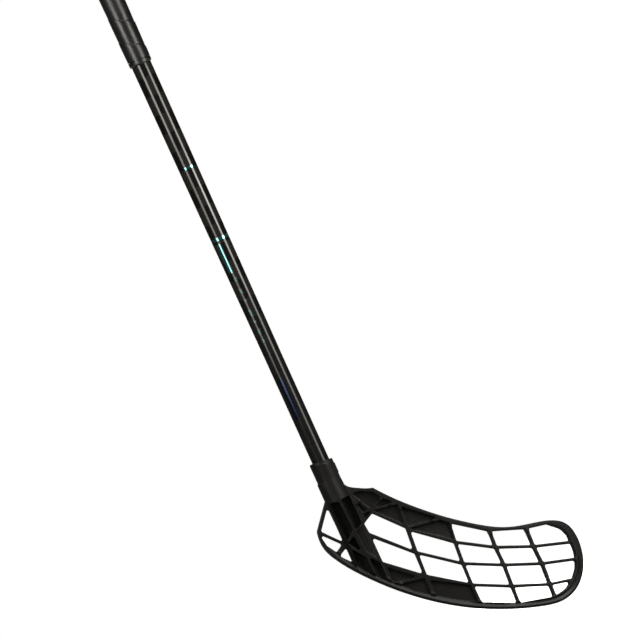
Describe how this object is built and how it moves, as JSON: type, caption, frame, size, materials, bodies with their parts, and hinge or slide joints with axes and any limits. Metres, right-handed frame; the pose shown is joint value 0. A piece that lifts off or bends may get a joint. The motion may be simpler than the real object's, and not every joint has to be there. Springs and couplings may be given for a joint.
{
  "type": "floorball stick",
  "caption": "Floorball stick: slim tapered composite tube with a wound grip and butt plug at one end and a curved open-lattice plastic blade, socketed and screwed, at the other.",
  "frame": {"origin": "on the tube's axis in the middle of the upper hand's hold", "axes": "+Z along the tube towards the butt, +X towards the blade's toe, +Y the side that the toe hooks to"},
  "size_m": [0.2687, 0.0503, 1.0573],
  "materials": {
    "shaft_lacquer": "gloss black lacquer over a woven composite tube, with narrow mint foil rings",
    "blade_plastic": "satin moulded black polyethylene",
    "hot_melt": "cloudy amber hot-melt glue",
    "screw_steel": "zinc-plated steel",
    "grip_band": "soft satin black polyurethane band with fine pores",
    "finish_tape": "stretched black tape, satin",
    "cap_plastic": "fine-grained black plastic"
  },
  "bodies": {
    "stick": {"shaft_tube": "shaft_lacquer", "blade": "blade_plastic", "hosel_adhesive": "hot_melt", "grip_wrap": "grip_band", "grip_finish_band": "finish_tape"},
    "butt_plug": {"butt_cap": "cap_plastic"},
    "fixing_screw": {"blade_screw": "screw_steel"}
  },
  "joints": [
    {"name": "butt_cap_pull", "type": "slide", "parent": "stick", "child": "butt_plug", "axis": [0, 0, 1], "range_m": [0, 0.034]},
    {"name": "blade_screw_out", "type": "slide", "parent": "stick", "child": "fixing_screw", "axis": [0, 1, 0], "range_m": [0, 0.012]}
  ]
}
